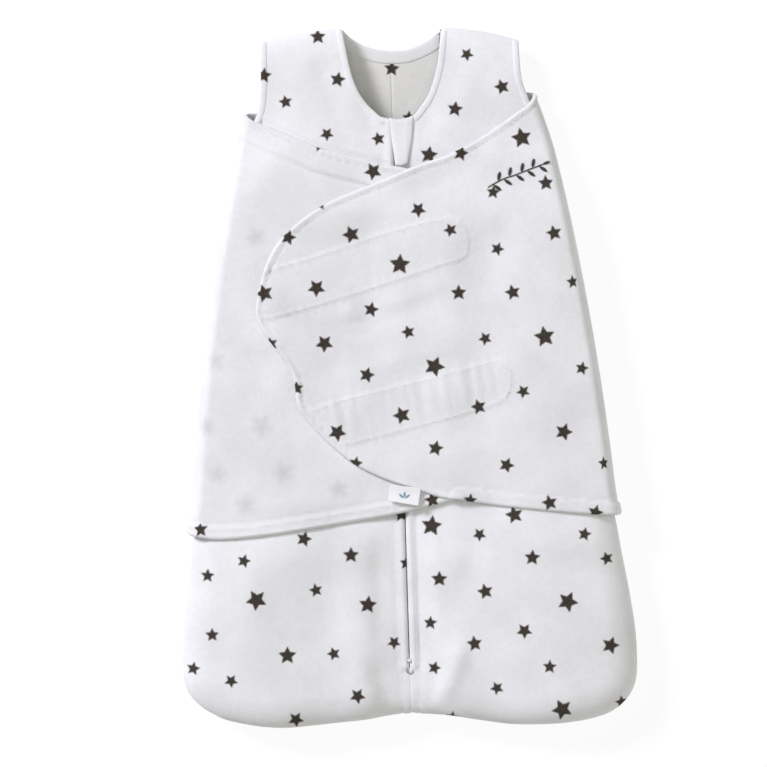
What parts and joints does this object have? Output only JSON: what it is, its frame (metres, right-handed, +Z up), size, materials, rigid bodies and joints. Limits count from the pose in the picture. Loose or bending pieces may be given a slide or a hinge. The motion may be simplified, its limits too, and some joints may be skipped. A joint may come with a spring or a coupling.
{
  "type": "baby sleeping bag",
  "caption": "Sleeveless fleece baby sleeping bag with a full-length front zip and swaddle wings that wrap across the chest and close with hook strips.",
  "frame": {"origin": "middle of the bounding box at its resting face, on the floor under the middle of the bag", "axes": "+Z points up out of the front of the bag, which lies on its back; +Y points towards the neck; +X points to the right as seen from the front, the wearer's left"},
  "size_m": [0.3632, 0.56, 0.045],
  "materials": {
    "fleece_print": "brushed micro fleece, white, printed with small dark stars",
    "fleece_reverse": "unprinted reverse of the micro fleece, the print showing faintly through",
    "rib_binding": "soft knitted binding, white",
    "zip_tape": "woven white zip tape",
    "zip_teeth": "white moulded coil",
    "zip_metal": "white enamelled metal",
    "hook_tape": "white hook tape",
    "satin_label": "white satin ribbon",
    "embroidery_thread": "dark olive embroidery thread"
  },
  "bodies": {
    "sack": {"back_panel_left": "fleece_print", "back_panel_right": "fleece_print", "front_panel_left": "fleece_print", "front_panel_right": "fleece_print", "neck_binding": "rib_binding", "armhole_binding_left": "rib_binding", "armhole_binding_right": "rib_binding", "back_neck_facing": "rib_binding", "zipper_garage": "fleece_print", "zipper_tape_left": "zip_tape", "zipper_tape_right": "zip_tape", "zipper_teeth_left": "zip_teeth", "zipper_teeth_right": "zip_teeth", "zipper_bottom_stop": "zip_metal", "zipper_top_stops": "zip_metal", "zipper_guard": "fleece_reverse", "wrap_back_panel": "fleece_print", "wrap_fold_left": "fleece_reverse", "wrap_fold_right": "fleece_print"},
    "slider": {"zipper_slider": "zip_metal"},
    "pull": {"slider_pull": "zip_metal"},
    "wing_under": {"under_wing": "fleece_reverse"},
    "wing_over": {"over_wing": "fleece_print", "hook_strip_upper": "hook_tape", "hook_strip_lower": "hook_tape", "side_label": "satin_label", "embroidered_sprig": "embroidery_thread"}
  },
  "joints": [
    {"name": "zipper_slide", "type": "slide", "parent": "sack", "child": "slider", "axis": [0, 1, 0], "range_m": [0, 0.38]},
    {"name": "pull_swing", "type": "hinge", "parent": "slider", "child": "pull", "pos_m": [0, -0.2245, 0.0368], "axis": [-1, 0, 0], "range_deg": [0, 180]},
    {"name": "over_wing_open", "type": "hinge", "parent": "sack", "child": "wing_over", "pos_m": [0.158, -0.112, 0.0449], "axis": [-0.1271, 0.9919, 0], "range_deg": [0, 180]},
    {"name": "under_wing_open", "type": "hinge", "parent": "sack", "child": "wing_under", "pos_m": [-0.158, -0.112, 0.0409], "axis": [-0.1271, -0.9919, 0], "range_deg": [0, 90]}
  ],
  "couplings": [
    {"joint": "under_wing_open", "follows": "over_wing_open", "ratio": 0.5}
  ]
}
